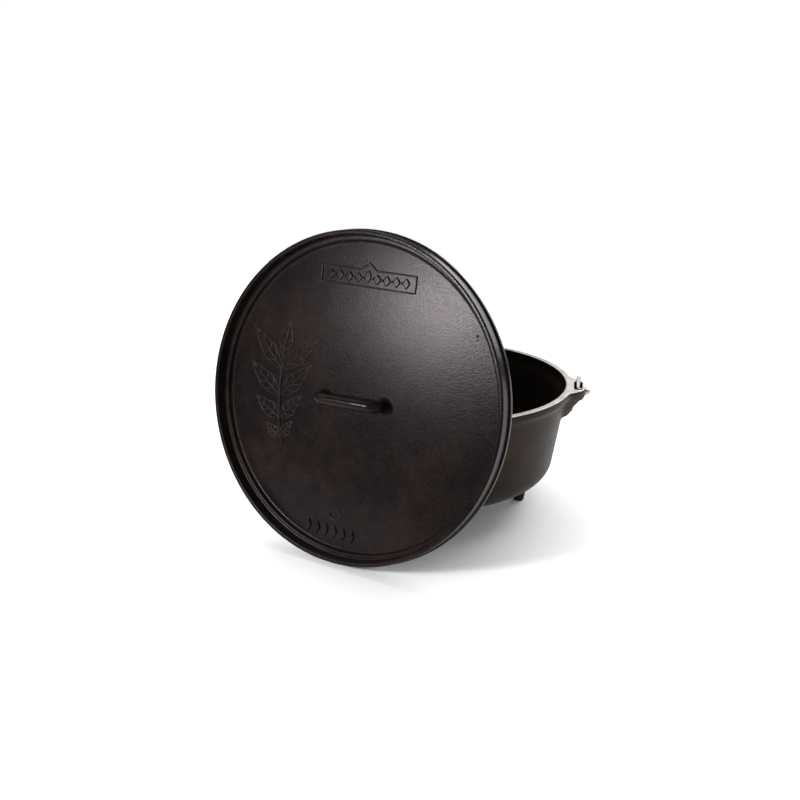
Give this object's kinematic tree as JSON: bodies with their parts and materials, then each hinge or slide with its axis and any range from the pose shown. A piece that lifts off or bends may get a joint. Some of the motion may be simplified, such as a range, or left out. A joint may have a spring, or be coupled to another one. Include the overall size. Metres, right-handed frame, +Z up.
{
  "type": "cast iron dutch oven",
  "caption": "Footed cast iron camp oven: round pot with bail lugs, a rimmed lid leaning against it, and a wire bail with a coil grip.",
  "frame": {"origin": "on the pot's axis, in the plane that the feet stand on", "axes": "+Z up along the pot's axis, X through the two bail lugs, and the lid leans on the -Y side"},
  "size_m": [0.3892, 0.3894, 0.3238],
  "materials": {
    "pot_iron": "seasoned black iron, fine cast grain, machined bare edge on the rim",
    "lid_iron": "seasoned black iron with a soft oiled sheen and fine cast grain",
    "bail_steel": "plain drawn steel wire, satin",
    "grip_steel": "close-wound plated wire, satin"
  },
  "bodies": {
    "pot": {"pot": "pot_iron"},
    "lid": {"lid": "lid_iron"},
    "bail": {"bail_wire": "bail_steel", "bail_grip_coil": "grip_steel"}
  },
  "joints": [
    {"name": "bail_swing", "type": "hinge", "parent": "pot", "child": "bail", "pos_m": [0, 0, 0.1395], "axis": [1, 0, 0], "range_deg": [0, 113]},
    {"name": "lid_lift", "type": "slide", "parent": "pot", "child": "lid", "axis": [0, 0, 1], "range_m": [0, 0.32]}
  ]
}
